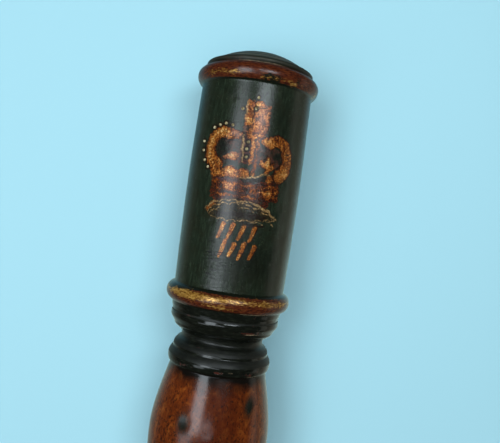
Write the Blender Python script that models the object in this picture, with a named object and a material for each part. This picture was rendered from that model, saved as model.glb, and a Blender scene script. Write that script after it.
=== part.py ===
"""A turned and painted wooden tipstaff, lying on its side.

Metres, +Z up. The staff lies along X with its head end towards +X, and rests on z = 0.
The origin is the centre of its footprint.
"""

import math

import bmesh
import bpy
from mathutils import Matrix, Vector

# Pommel and the bead above it, from the butt end up
BUTT_FACE_RADIUS = 0.0085
POMMEL_RADIUS = 0.0172
POMMEL_BUTT_LENGTH = 0.0075
POMMEL_NECK_LENGTH = 0.0085
POMMEL_NECK_RADIUS = 0.0128
GRIP_BEAD_LENGTH = 0.0038
GRIP_BEAD_RADIUS = 0.0150

# Handle: a waist in the hand, and a swell below the collar
WAIST_RADIUS = 0.0124
WAIST_LENGTH = 0.0180
GRIP_LENGTH = 0.0600
SWELL_RADIUS = 0.0204
SHOULDER_LENGTH = 0.0232
SHOULDER_RADIUS = 0.0164
SHOULDER_SLOPE = -0.23

# Black neck: collar ring, hollow, the ring above it, and two fillets
COLLAR_LENGTH = 0.0050
COLLAR_RADIUS = 0.0176
HOLLOW_LIP_RADIUS = 0.01635
HOLLOW_LIP_LENGTH = 0.0015
HOLLOW_RISE_LENGTH = 0.0027
HOLLOW_RADIUS = 0.0138
HOLLOW_FLOOR_LENGTH = 0.0009
UNDERCUT_LENGTH = 0.0032
UNDERCUT_RADIUS = 0.0170
RING_RADIUS = 0.0185
RING_RISE_LENGTH = 0.0029
RING_FALL_LENGTH = 0.0018
FILLET_RADIUS = 0.0182
FILLET_LENGTH = 0.0016
SEAT_RADIUS = 0.0189
SEAT_LENGTH = 0.0011

# Head: a gilt bead at each end of the painted drum
FOOT_BEAD_LENGTH = 0.0063
FOOT_BEAD_RADIUS = 0.02115
DRUM_LENGTH = 0.0667
DRUM_END_RADIUS = 0.0188
DRUM_RADIUS = 0.01928
HEAD_BEAD_LENGTH = 0.0063
HEAD_BEAD_RADIUS = 0.0208

# Cap: a small bead round a low dome
CAP_FOOT_RADIUS = 0.0179
CAP_BEAD_LENGTH = 0.0021
CAP_BEAD_RADIUS = 0.0184
DOME_RADIUS = 0.0166
DOME_RISE = 0.0053

# Half the angle of every bead's arc, in degrees
BEAD_OPENING = 75

# Flat spots worn where the staff lies, and the number of facets round it
REST_FLAT_DEPTH = 0.00015
FACETS = 54


def point_at(outline):
    """The last point laid down: its distance from the butt, and its radius."""
    return outline[-1]


def step(outline, radius):
    """A square shoulder in or out to another radius."""
    x, _ = point_at(outline)
    outline.append((x, radius))


def straight(outline, length, end_radius):
    """A cylinder or a straight taper."""
    x, _ = point_at(outline)
    outline.append((x + length, end_radius))


def bead(outline, length, crest_radius, end_radius, pieces):
    """A round moulding from the last radius up to the crest and down to the end radius."""
    x, start_radius = point_at(outline)
    opening = math.radians(BEAD_OPENING)
    for i in range(1, pieces + 1):
        angle = opening * (2 * i / pieces - 1)
        share = (1 + math.sin(angle) / math.sin(opening)) / 2
        swell = (math.cos(angle) - math.cos(opening)) / (1 - math.cos(opening))
        foot = start_radius + (end_radius - start_radius) * share
        outline.append((x + length * share, foot + (crest_radius - foot) * swell))


def quarter_round(outline, length, end_radius, pieces):
    """A quarter of an ellipse that starts square to the axis and ends along it."""
    x, start_radius = point_at(outline)
    for i in range(1, pieces + 1):
        angle = math.pi / 2 * i / pieces
        along = length * (1 - math.cos(angle))
        outline.append((x + along, start_radius + (end_radius - start_radius) * math.sin(angle)))


def sweep(outline, length, end_radius, pieces, end_slope=0.0):
    """A long S that leaves along the axis and arrives at the end slope."""
    x, start_radius = point_at(outline)
    for i in range(1, pieces + 1):
        t = i / pieces
        start_share = 2 * t**3 - 3 * t**2 + 1
        end_share = 3 * t**2 - 2 * t**3
        slope_share = t**3 - t**2
        radius = start_radius * start_share + end_radius * end_share + slope_share * length * end_slope
        outline.append((x + length * t, radius))


def dome(outline, rise, pieces):
    """A shallow piece of a ball that ends on the axis."""
    x, foot_radius = point_at(outline)
    ball_radius = (foot_radius**2 + rise**2) / (2 * rise)
    opening = math.asin(foot_radius / ball_radius)
    for i in range(1, pieces + 1):
        angle = opening * (1 - i / pieces)
        height = ball_radius * (math.cos(angle) - math.cos(opening))
        outline.append((x + height, ball_radius * math.sin(angle)))


def barrel(outline, length, crest_radius, end_radius, pieces):
    """A drum with a slight swell between its ends."""
    x, start_radius = point_at(outline)
    for i in range(1, pieces + 1):
        t = i / pieces
        foot = start_radius + (end_radius - start_radius) * t
        outline.append((x + length * t, foot + (crest_radius - foot) * math.sin(math.pi * t)))


def handle(outline):
    """Pommel, grip bead, waist and swell, up to the collar."""
    step(outline, BUTT_FACE_RADIUS)
    quarter_round(outline, POMMEL_BUTT_LENGTH, POMMEL_RADIUS, 4)
    sweep(outline, POMMEL_NECK_LENGTH, POMMEL_NECK_RADIUS, 5)
    bead(outline, GRIP_BEAD_LENGTH, GRIP_BEAD_RADIUS, POMMEL_NECK_RADIUS, 5)
    sweep(outline, WAIST_LENGTH, WAIST_RADIUS, 3)
    sweep(outline, GRIP_LENGTH, SWELL_RADIUS, 8)
    sweep(outline, SHOULDER_LENGTH, SHOULDER_RADIUS, 6, SHOULDER_SLOPE)


def neck(outline):
    """Collar ring, the hollow between its lip and undercut, the ring above, and two fillets."""
    bead(outline, COLLAR_LENGTH, COLLAR_RADIUS, HOLLOW_LIP_RADIUS, 6)
    straight(outline, HOLLOW_LIP_LENGTH, HOLLOW_LIP_RADIUS)
    sweep(outline, HOLLOW_RISE_LENGTH, HOLLOW_RADIUS, 5)
    straight(outline, HOLLOW_FLOOR_LENGTH, HOLLOW_RADIUS)
    sweep(outline, UNDERCUT_LENGTH, UNDERCUT_RADIUS, 5)
    sweep(outline, RING_RISE_LENGTH, RING_RADIUS, 5)
    sweep(outline, RING_FALL_LENGTH, FILLET_RADIUS, 3)
    straight(outline, FILLET_LENGTH, FILLET_RADIUS)
    step(outline, SEAT_RADIUS)
    straight(outline, SEAT_LENGTH, SEAT_RADIUS)


def cap(outline):
    """A small bead, and the dome inside it."""
    bead(outline, CAP_BEAD_LENGTH, CAP_BEAD_RADIUS, DOME_RADIUS, 4)
    dome(outline, DOME_RISE, 6)


def staff_outline():
    """The outline from the butt to the top of the cap, and where each finish ends."""
    outline = [(0.0, 0.0)]
    zones = []
    handle(outline)
    zones.append((point_at(outline)[0], "varnished_wood"))
    neck(outline)
    zones.append((point_at(outline)[0], "black_paint"))
    bead(outline, FOOT_BEAD_LENGTH, FOOT_BEAD_RADIUS, DRUM_END_RADIUS, 8)
    zones.append((point_at(outline)[0], "worn_gilding"))
    barrel(outline, DRUM_LENGTH, DRUM_RADIUS, DRUM_END_RADIUS, 6)
    zones.append((point_at(outline)[0], "green_paint"))
    bead(outline, HEAD_BEAD_LENGTH, HEAD_BEAD_RADIUS, CAP_FOOT_RADIUS, 8)
    zones.append((point_at(outline)[0], "worn_gilding"))
    cap(outline)
    zones.append((point_at(outline)[0], "black_paint"))
    return outline, zones


def paint(name, colour, roughness, metallic):
    """One of the staff's finishes."""
    material = bpy.data.materials.new(name)
    material.use_nodes = True
    shader = material.node_tree.nodes["Principled BSDF"]
    shader.inputs["Base Color"].default_value = (*colour, 1.0)
    shader.inputs["Roughness"].default_value = roughness
    shader.inputs["Metallic"].default_value = metallic
    return material


def finishes():
    """The four finishes that show on the staff."""
    return {
        "varnished_wood": paint("varnished_wood", (0.17, 0.045, 0.012), 0.25, 0.0),
        "black_paint": paint("black_paint", (0.012, 0.014, 0.012), 0.30, 0.0),
        "worn_gilding": paint("worn_gilding", (0.36, 0.15, 0.035), 0.35, 0.4),
        "green_paint": paint("green_paint", (0.016, 0.028, 0.018), 0.30, 0.0),
    }


def turn(outline):
    """Spins the outline once round the X axis into a closed skin."""
    shape = bmesh.new()
    verts = [shape.verts.new((x, 0.0, radius)) for x, radius in outline]
    edges = [shape.edges.new(pair) for pair in zip(verts, verts[1:])]
    bmesh.ops.spin(
        shape,
        geom=verts + edges,
        cent=(0, 0, 0),
        axis=(1, 0, 0),
        angle=2 * math.pi,
        steps=FACETS,
        use_merge=True,
    )
    bmesh.ops.remove_doubles(shape, verts=shape.verts, dist=1e-6)
    bmesh.ops.recalc_face_normals(shape, faces=shape.faces)
    return shape


def cut_rest_flats(shape):
    """Takes off all that hangs below z = 0 and closes the flat spots that this leaves."""
    bmesh.ops.bisect_plane(
        shape,
        geom=shape.verts[:] + shape.edges[:] + shape.faces[:],
        plane_co=(0, 0, 0),
        plane_no=(0, 0, -1),
        clear_outer=True,
        dist=1e-6,
    )
    rims = [edge for edge in shape.edges if edge.is_boundary]
    bmesh.ops.holes_fill(shape, edges=rims)
    bmesh.ops.recalc_face_normals(shape, faces=shape.faces)


def zone_of(x, zones):
    """The number of the finish that covers the staff at a distance from the butt."""
    for number, (end, _) in enumerate(zones):
        if x < end:
            return number
    return len(zones) - 1


def build_staff():
    """The whole staff, turned from one piece of wood."""
    outline, zones = staff_outline()
    length = point_at(outline)[0]
    slimmest_rest = min(SWELL_RADIUS, FOOT_BEAD_RADIUS, HEAD_BEAD_RADIUS)
    axis_height = slimmest_rest - REST_FLAT_DEPTH

    shape = turn(outline)
    for face in shape.faces:
        face.material_index = zone_of(face.calc_center_median().x, zones)
    bmesh.ops.transform(shape, matrix=Matrix.Translation(Vector((-length / 2, 0, axis_height))), verts=shape.verts)
    cut_rest_flats(shape)

    mesh = bpy.data.meshes.new("staff")
    shape.to_mesh(mesh)
    shape.free()
    colours = finishes()
    for _, finish in zones:
        mesh.materials.append(colours[finish])
    mesh.shade_smooth()
    mesh.set_sharp_from_angle(angle=math.radians(35))
    staff = bpy.data.objects.new("staff", mesh)
    bpy.context.scene.collection.objects.link(staff)
    return staff


def main():
    for old in list(bpy.data.objects):
        bpy.data.objects.remove(old)
    build_staff()


main()
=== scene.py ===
# A short wooden tipstaff, turned from one billet, painted, gilded and varnished, lying on its side.
# Blender works in metres here. Sizes in the dictionaries are in millimetres, and +X points to the head end.
import math
from functools import partial

import bmesh
import bpy
import numpy as np
from mathutils import Matrix, Vector, noise


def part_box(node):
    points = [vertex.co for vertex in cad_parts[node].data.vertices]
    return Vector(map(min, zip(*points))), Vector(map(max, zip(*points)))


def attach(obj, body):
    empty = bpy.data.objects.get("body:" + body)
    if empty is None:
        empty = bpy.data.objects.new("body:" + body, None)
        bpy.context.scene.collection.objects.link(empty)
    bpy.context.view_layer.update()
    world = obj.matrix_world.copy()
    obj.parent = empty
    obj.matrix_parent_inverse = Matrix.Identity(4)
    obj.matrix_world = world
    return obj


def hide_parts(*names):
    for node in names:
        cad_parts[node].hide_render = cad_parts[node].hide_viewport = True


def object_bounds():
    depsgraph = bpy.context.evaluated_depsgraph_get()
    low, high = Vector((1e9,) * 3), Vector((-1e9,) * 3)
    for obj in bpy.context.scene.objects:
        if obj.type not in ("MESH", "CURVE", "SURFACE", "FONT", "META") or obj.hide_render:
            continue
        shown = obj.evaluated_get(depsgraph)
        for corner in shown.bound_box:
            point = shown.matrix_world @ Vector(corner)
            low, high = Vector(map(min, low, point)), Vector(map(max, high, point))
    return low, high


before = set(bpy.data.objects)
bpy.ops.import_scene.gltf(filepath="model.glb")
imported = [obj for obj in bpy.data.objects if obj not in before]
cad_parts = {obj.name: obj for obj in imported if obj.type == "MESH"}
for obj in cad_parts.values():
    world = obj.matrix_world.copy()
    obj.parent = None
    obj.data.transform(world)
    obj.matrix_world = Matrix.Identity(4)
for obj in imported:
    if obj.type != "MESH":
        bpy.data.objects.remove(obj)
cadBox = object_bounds()
staffLow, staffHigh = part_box("staff")
mm = 0.001
print("frame loaded")


def hexToLinear(code):
    levels = [int(code[i:i + 2], 16) / 255 for i in (1, 3, 5)]
    return tuple(c / 12.92 if c <= 0.04045 else ((c + 0.055) / 1.055) ** 2.4 for c in levels) + (1.0,)


def setInputs(node, values):
    # links an input to a socket, or sets it to a number, a vector or a hex colour
    for name, value in values.items():
        if isinstance(value, bpy.types.NodeSocket):
            node.id_data.links.new(value, node.inputs[name])
        else:
            node.inputs[name].default_value = hexToLinear(value) if isinstance(value, str) else value


def addNode(tree, kind, inputs=None, out=0, stops=None, **settings):
    # adds one node, links or sets its inputs, and gives back the output that is asked for
    node = tree.nodes.new("ShaderNode" + kind)
    for name, value in settings.items():
        setattr(node, name, value)
    setInputs(node, inputs or {})
    if stops:
        ramp = node.color_ramp.elements
        while len(ramp) < len(stops):
            ramp.new(0.5)
        for stop, (place, code) in zip(ramp, stops):
            stop.position = place
            stop.color = hexToLinear(code)
    return node.outputs[out]


footBeadRadius = 21.15
drumRadius = 19.28

# The turned form from the butt to the cap. Each part is a curve, its length and the radius where it ends,
# then the slope at the end of a sweep or the crest of a bead. A barrel ends as it starts, and has its crest
# radius instead, and a dome ends on the axis.
staffSizes = {
    "buttFaceRadius": 8.5,
    "parts": {
        "handle": [
            ("quarterRound", 7.5, 17.2), ("sweep", 8.5, 12.8),  # pommel
            ("bead", 3.8, 12.8, 15.0),
            ("sweep", 18.0, 12.4), ("sweep", 60.0, 20.4),  # waist and swell
            ("sweep", 23.2, 16.4, -0.23)],  # shoulder
        "neck": [
            ("straight", 0.0, 16.6), ("quarterRound", 2.4, 17.6), ("roll", 2.9, 16.3),  # collar
            ("straight", 0.6, 16.32), ("straight", 0.9, 16.04),  # lip
            ("straight", 1.2, 15.15), ("settle", 1.5, 13.92), ("straight", 0.7, 14.05),  # hollow
            ("sweep", 2.9, 17.0, 0.27), ("straight", 0.5, 17.13),  # undercut
            ("straight", 1.4, 18.08), ("settle", 1.1, 18.5),  # ring
            ("straight", 0.8, 18.47), ("straight", 0.6, 18.2),
            ("straight", 1.4, 18.43), ("straight", 0.0, 18.53), ("straight", 1.8, 18.9)],  # fillet and seat
        "footBead": [("bead", 6.3, 18.8, footBeadRadius)],
        "drum": [("barrel", 66.7, drumRadius)],
        "headBead": [("bead", 6.3, 17.9, 20.8)],
        "cap": [("bead", 2.1, 16.6, 18.4), ("dome", 5.3)],
    },
    "beadOpening": 75,
    "cornerRound": 0.14,  # how far paint and handling soften a corner
    "segments": 144,
    "pommelEnd": 20,
    "pommelSpacing": 0.6,
    "handleSpacing": 1.3,
    "drumSpacing": 0.75,
    "mouldingSpacing": 0.36,
    "neckSpacing": 0.22,
}


def turnedOutline(s):
    # the half outline as (distance from the butt, radius), and where each zone ends
    opening = math.radians(s["beadOpening"])

    # each curve gives, at a share of its steps, its share of the length and the radius
    def straight(t, length, start, end):
        return t, start + (end - start) * t

    def roll(t, length, start, end):  # lies along the axis where it starts
        return t, start + (end - start) * t**2

    def settle(t, length, start, end):  # lies along the axis where it ends
        return t, start + (end - start) * (2 * t - t**2)

    def quarterRound(t, length, start, end):  # square to the axis where it starts
        angle = math.pi / 2 * t
        return 1 - math.cos(angle), start + (end - start) * math.sin(angle)

    def sweep(t, length, start, end, endSlope=0.0):
        rise = 3 * t**2 - 2 * t**3
        return t, start * (1 - rise) + end * rise + (t**3 - t**2) * length * endSlope

    def bead(t, length, start, end, crest):
        angle = opening * (2 * t - 1)
        share = (1 + math.sin(angle) / math.sin(opening)) / 2
        swell = (math.cos(angle) - math.cos(opening)) / (1 - math.cos(opening))
        foot = start + (end - start) * share
        return share, foot + (crest - foot) * swell

    def barrel(t, length, start, crest):
        return t, start + (crest - start) * math.sin(math.pi * t)

    def dome(t, rise, start):
        ball = (start**2 + rise**2) / (2 * rise)
        edge = math.asin(start / ball)
        angle = edge * (1 - t)
        return ball * (math.cos(angle) - math.cos(edge)) / rise, ball * math.sin(angle)

    curves = {
        "straight": (straight, 1), "roll": (roll, 16), "settle": (settle, 16),
        "quarterRound": (quarterRound, 16), "sweep": (sweep, 32), "bead": (bead, 32),
        "barrel": (barrel, 64), "dome": (dome, 32)}
    points = [(0.0, 0.0), (0.0, s["buttFaceRadius"])]
    zoneEnds = {}
    for zone, parts in s["parts"].items():
        for name, length, *radii in parts:
            curve, steps = curves[name]
            x, start = points[-1]
            for i in range(1, steps + 1):
                share, radius = curve(i / steps, length, start, *radii)
                points.append((x + length * share, radius))
        zoneEnds[zone] = points[-1][0]
    return np.array(points), zoneEnds


def softenOutline(points, zoneEnds, s):
    # rounds the corners by sliding an average along the outline, then thins it to each zone's own spacing
    fine = 0.05
    runs = np.hypot(*np.diff(points, axis=0).T)
    along = np.concatenate([[0], np.cumsum(runs)])
    grid = np.arange(0, along[-1], fine)
    dense = np.column_stack([np.interp(grid, along, points[:, i]) for i in (0, 1)])
    reach = int(3 * s["cornerRound"] / fine)
    weights = np.exp(-0.5 * (np.arange(-reach, reach + 1) * fine / s["cornerRound"]) ** 2)
    weights /= weights.sum()
    soft = dense.copy()
    for i in (0, 1):
        soft[reach:-reach, i] = np.convolve(dense[:, i], weights, mode="valid")
    kept = [soft[0]]
    place = 0.0
    while True:
        x = kept[-1][0]
        spacing = s["mouldingSpacing"]
        if x < s["pommelEnd"]:
            spacing = s["pommelSpacing"]
        elif x < zoneEnds["handle"] - 2:
            spacing = s["handleSpacing"]
        elif zoneEnds["handle"] < x < zoneEnds["neck"]:
            spacing = s["neckSpacing"]
        elif zoneEnds["footBead"] + 1 < x < zoneEnds["drum"] - 1.5:
            spacing = s["drumSpacing"]
        place += spacing
        if place > grid[-1] - 0.5 * spacing:
            break
        kept.append(soft[int(place / fine)])
    kept.append(points[-1])
    return np.array(kept)


# Where the crown is painted, and how fine the mesh is under it
crownPlace = {
    "fromButt": 172.2,  # the drawing's zero line, near the foot of the drum
    "rollRadius": 19.2,  # the drum as it is rolled out flat
    "meshLow": -24.0,
    "low": -15.5,
    "high": 39.5,
    "halfWidth": 19.5,
    "cuts": 2,
}


def turnStaff(s, c):
    points, zoneEnds = turnedOutline(s)
    outline = softenOutline(points, zoneEnds, s)
    shape = bmesh.new()
    verts = [shape.verts.new((x * mm, 0, r * mm)) for x, r in outline]
    edges = [shape.edges.new(pair) for pair in zip(verts, verts[1:])]
    bmesh.ops.spin(
        shape, geom=verts + edges, cent=(0, 0, 0), axis=(1, 0, 0),
        angle=2 * math.pi, steps=s["segments"], use_merge=True)
    bmesh.ops.remove_doubles(shape, verts=shape.verts, dist=0.001 * mm)

    # a finer net under the painted crown
    painted = []
    for face in shape.faces:
        x, y, z = face.calc_center_median()
        up = x / mm - c["fromButt"]
        across = c["rollRadius"] * math.atan2(-y, z)
        if c["meshLow"] < up < c["high"] and abs(across) < c["halfWidth"]:
            painted.append(face)
    lines = list({edge for face in painted for edge in face.edges})
    bmesh.ops.subdivide_edges(shape, edges=lines, cuts=c["cuts"], use_grid_fill=True)

    # its new points go back onto the round of the drum
    drumStart = zoneEnds["footBead"] + 2
    drumEnd = zoneEnds["drum"] - 2
    for vert in shape.verts:
        if drumStart < vert.co.x / mm < drumEnd:
            out = math.hypot(vert.co.y, vert.co.z)
            true = np.interp(vert.co.x / mm, outline[:, 0], outline[:, 1]) * mm
            vert.co.y *= true / out
            vert.co.z *= true / out
    return shape, zoneEnds


# Small faults of hand turning and long use, all of them inwards, rolled out from the top of the staff
handWear = {
    "waver": 0.06, "waverSize": 14.0,
    "ding": 0.20, "dingSize": 3.2,
    "bruises": [(-8.2, -66.9, 2.0, 0.30), (13.4, -60.0, 2.0, 0.26)],  # across, up, radius and depth
    "crack": (-3.4, 46.3, 1.6, 0.16), "crackDepth": 0.35,  # across, up, half length and width
    "wrinkled": (-4.6, -15.0, 4.5, 8.0),  # across, up and reach of the wrinkles in the varnish
    "wrinkleSpacing": 1.05,
    "wrinkleDepth": 0.08,
}


def wearStaff(shape, c, w):
    crackU, crackV, crackHalf, crackWide = w["crack"]
    wrinkleU, wrinkleV, reachU, reachV = w["wrinkled"]
    for vert in shape.verts:
        x, y, z = (value / mm for value in vert.co)
        out = math.hypot(y, z)
        if out < 2.0:
            continue
        here = Vector((x, y, z))
        dent = w["waver"] * (0.5 + 0.5 * noise.noise(here / w["waverSize"]))
        dent += w["ding"] * max(0.0, noise.noise(here / w["dingSize"] + Vector((40, 0, 0))) - 0.35)
        across = out * math.atan2(-y, z)
        up = x - c["fromButt"]
        for u, v, radius, depth in w["bruises"]:
            away = math.hypot(across - u, up - v) / radius
            dent += depth * math.exp(-away * away)
        if abs(up - crackV) < crackHalf and abs(across - crackU) < 3 * crackWide:
            dent += w["crackDepth"] * math.exp(-((across - crackU) / crackWide) ** 2)
        wrinkled = math.exp(-((across - wrinkleU) / reachU) ** 2 - ((up - wrinkleV) / reachV) ** 2)
        if c["meshLow"] < up and wrinkled > 0.05:
            wave = 2 * math.pi * x / w["wrinkleSpacing"] + 3.0 * noise.noise(here / 1.8)
            dent += w["wrinkleDepth"] * wrinkled * (0.5 + 0.5 * math.sin(wave))
        vert.co.y *= 1 - dent / out
        vert.co.z *= 1 - dent / out


def layDown(shape):
    # moves the staff to the frame's place and cuts the flat spots that it rests on
    axisHeight = staffHigh.z - footBeadRadius * mm
    bmesh.ops.translate(shape, vec=(staffLow.x, 0, axisHeight), verts=shape.verts)
    bmesh.ops.bisect_plane(
        shape, geom=shape.verts[:] + shape.edges[:] + shape.faces[:], plane_co=(0, 0, staffLow.z),
        plane_no=(0, 0, -1), clear_outer=True, dist=0.0001 * mm)
    rims = [edge for edge in shape.edges if edge.is_boundary]
    bmesh.ops.holes_fill(shape, edges=rims)
    bmesh.ops.recalc_face_normals(shape, faces=shape.faces)
    return axisHeight


# Brush work: each of these says how far inside a painted shape a point is, in millimetres,
# and less than 0 outside it

def disc(u, v, middle, radius):
    return radius - np.hypot(u - middle[0], v - middle[1])


def slab(u, v, left, right, low, high):
    return np.minimum.reduce([u - left, right - u, v - low, high - v])


def stroke(u, v, places):
    # a brush stroke through (across, up, half width) places
    best = np.full_like(u, -99.0)
    for (u0, v0, half0), (u1, v1, half1) in zip(places, places[1:]):
        du, dv = u1 - u0, v1 - v0
        t = np.clip(((u - u0) * du + (v - v0) * dv) / (du * du + dv * dv), 0, 1)
        best = np.maximum(best, half0 + (half1 - half0) * t - np.hypot(u - u0 - t * du, v - v0 - t * dv))
    return best


def over(*shapes):
    return np.maximum.reduce(shapes)


def strokes(u, v, runs):
    return over(*[stroke(u, v, run) for run in runs])


def bow(middle, reach, degrees, halves, count=13):
    # places along part of an ellipse, for a stroke
    turns = np.radians(np.linspace(*degrees, count))
    widths = np.linspace(*halves, count)
    return [(middle[0] + reach[0] * math.cos(a), middle[1] + reach[1] * math.sin(a), half)
            for a, half in zip(turns, widths)]


def near(u, v, middle, reach):
    # 1 at the middle, falling off softly over the reach
    return np.exp(-((u - middle[0]) / reach[0]) ** 2 - ((v - middle[1]) / reach[1]) ** 2)


def touches(u, v, places):
    # soft touches added up: (across, up, reach across, reach up, strength)
    return sum(strength * near(u, v, (p, q), (a, b)) for p, q, a, b, strength in places)


# The crown as the painter's hand left it, rolled out flat: u to the right, v towards the head end
crown = {
    "leftArch": {"middle": (-8.1, 20.2), "reach": (4.6, 5.4), "degrees": (66, 252), "halves": (1.9, 2.4)},
    "rightArch": {"middle": (9.5, 19.2), "reach": (4.7, 5.6), "degrees": (128, -62), "halves": (1.8, 2.5)},
    "leftEnds": ((-3.3, 25.1, 1.3), (-9.6, 13.0, 1.7)),
    "rightEnds": ((5.2, 24.2, 1.3), (11.0, 13.6, 1.7)),
    "crossMiddle": (1.7, 31.3),
    "crossReach": (4.0, 5.1),
    "crossCore": 2.3,
    "crossTips": 2.6,
    "orb": (1.2, 26.2),
    "orbRadius": 2.3,
    "front": (-2.3, 3.5, 16.4, 25.4),  # left, right, low and high
    "circlet": (-10.4, 12.4, 4.8, 11.3),
    "circletLines": (6.1, 7.9, 9.6),
    "panels": [(-6.2, -2.2, 7.5, 10.4), (-9.9, -7.9, 8.9, 10.5)],
    "knobs": [((-0.2, 13.3), 1.8), ((8.2, 12.7), 1.5), ((11.4, 13.9), 1.6)],
    "roomDiscs": [((-7.4, 20.0), 3.6), ((9.4, 18.9), 3.3)],
    "roomSlabs": [(-7.6, -2.0, 15.6, 24.2), (3.2, 9.0, 16.0, 22.6)],
    "archBeads": {"reach": (4.9, 5.8), "degrees": (76, 245), "halves": (0, 0), "count": 15},
    "archBeadRadius": 0.6,
    "fan": (-4.6, 12.1), "fanRadius": 3.2,
    "fur": [
        (-10.7, 1.2, 0.9), (-8.0, 1.1, 2.7), (-3.0, 1.5, 3.5),
        (4.0, 1.7, 3.2), (9.0, 1.2, 1.8), (13.0, 0.1, 0.4)],
    "furTails": ((-7.6, 3.0), (-3.1, 3.6), (1.6, 4.2), (5.4, 3.2), (8.9, 2.2), (-5.2, 2.6), (3.6, 3.4)),
    "pearlsOnArch": [
        (-16.1, 22.4), (-15.8, 19.5), (-14.6, 16.3), (-12.8, 14.2),
        (-12.2, 26.8), (-10.2, 27.7), (-8.1, 28.3), (-5.8, 27.9)],
    "pearlsOnFront": [(-0.1, 23.2), (-0.3, 21.0), (-0.1, 18.5)],
    "pearlsOnCross": [(1.2, 37.3), (0.9, 33.8), (-3.3, 33.3)],
    "pearlRadius": 0.5, "pearlSunk": 0.16,
    "hatchSpacing": 0.85,
}

# Its brush strokes by colour and place, each a run of (across, up, half width)
crownStrokes = {
    "rimKnobs": [[(-10.0, 12.0, 1.2), (-8.4, 12.6, 1.2)], [(2.7, 13.3, 0.7), (2.8, 16.1, 0.6)]],
    "lily": [
        [(6.9, 14.3, 0.8), (7.0, 16.8, 1.1), (6.9, 19.0, 0.6)],
        [(6.6, 15.7, 0.7), (5.2, 16.9, 1.0), (5.1, 18.0, 0.6)],
        [(7.2, 15.5, 0.7), (8.6, 16.5, 0.9), (8.9, 17.4, 0.5)]],
    "gold": [
        [(-1.6, 25.9, 1.0), (3.9, 26.0, 1.2)], [(1.3, 16.8, 0.6), (1.7, 20.5, 0.75), (1.4, 24.6, 0.6)],
        [(3.1, 17.0, 0.35), (3.0, 24.4, 0.45)], [(-6.6, 17.9, 0.7), (-4.0, 18.3, 1.5)],
        [(10.6, 6.8, 0.5), (11.3, 9.6, 0.7)]],
    "goldOnFur": [[(-10.4, 1.0, 0.5), (-9.3, 2.5, 0.7), (-7.7, 3.6, 0.4)]],
    "foot": [[(-8.2, 4.6, 0.8), (0.0, 5.4, 0.7), (5.6, 4.9, 0.9), (8.6, 4.3, 0.8)]],
    "gap": [[(0.4, 11.1, 0.3), (3.2, 11.5, 0.8), (5.6, 12.2, 0.8), (7.0, 12.9, 0.3)]],
    "dark": [
        [(0.5, 26.8, 0.08), (0.3, 30.5, 0.2), (0.6, 35.2, 0.1)],
        [(2.0, 33.9, 0.14), (3.8, 34.5, 0.26), (5.4, 35.4, 0.12)],
        [(-6.0, 6.6, 0.14), (-4.0, 7.0, 0.26), (-2.4, 6.9, 0.14)],
        [(-6.9, -3.1, 0.14), (-4.6, -2.3, 0.26), (-1.9, -1.6, 0.12)],
        [(-7.4, 22.4, 0.15), (-5.6, 22.9, 0.25), (-3.4, 23.3, 0.12)],
        [(0.3, 17.0, 0.15), (0.7, 24.6, 0.2)], [(2.3, 17.0, 0.15), (2.4, 24.6, 0.15)],
        [(-7.0, 0.1, 0.3), (-2.0, 0.3, 0.7), (4.0, 0.4, 0.8), (8.5, 0.2, 0.5)],
        [(0.8, -2.0, 0.3), (4.0, -2.6, 0.6), (8.6, -2.2, 0.3)]],
    "pale": [
        [(-1.1, 16.8, 0.2), (-1.6, 21.0, 0.36), (-1.8, 25.0, 0.25)],
        [(-1.2, 11.9, 0.18), (2.0, 12.2, 0.25), (4.2, 13.0, 0.28), (6.8, 14.0, 0.25), (8.2, 13.9, 0.15)],
        [(-2.0, 29.2, 0.12), (-2.0, 31.5, 0.2), (-1.9, 35.9, 0.3)]],
    "palePastFur": [
        [(-10.2, 0.6, 0.12), (-8.6, 2.2, 0.14), (-5.5, 3.3, 0.20), (0, 3.9, 0.14)],
        [(0, 4.3, 0.12), (3.5, 3.4, 0.2), (6.0, 2.8, 0.14), (9.6, 1.2, 0.1)],
        [(4.2, 4.3, 0.14), (8.0, 2.8, 0.2), (12.2, 0.9, 0.2)],
        [(-1.0, 2.5, 0.1), (2.4, 2.7, 0.14), (5.0, 1.9, 0.08)],
        [(-6.2, -1.6, 0.08), (-3.4, -1.9, 0.14), (-1.4, -1.6, 0.08)],
        [(1.0, -0.9, 0.08), (4.6, -1.5, 0.12), (8.0, -1.4, 0.08)]],
    "paleAgainst": [
        [(-9.6, -0.4, 0.08), (-8.4, 0.9, 0.14), (-6.0, 1.9, 0.08)],
        [(-9.9, 1.6, 0.08), (-8.9, 3.0, 0.14), (-7.2, 3.9, 0.08)],
        [(6.4, 3.9, 0.08), (9.4, 2.3, 0.16), (11.6, 0.3, 0.08)],
        [(8.8, -0.6, 0.08), (11.0, -1.0, 0.16), (12.4, -1.7, 0.08)]],
}

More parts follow.
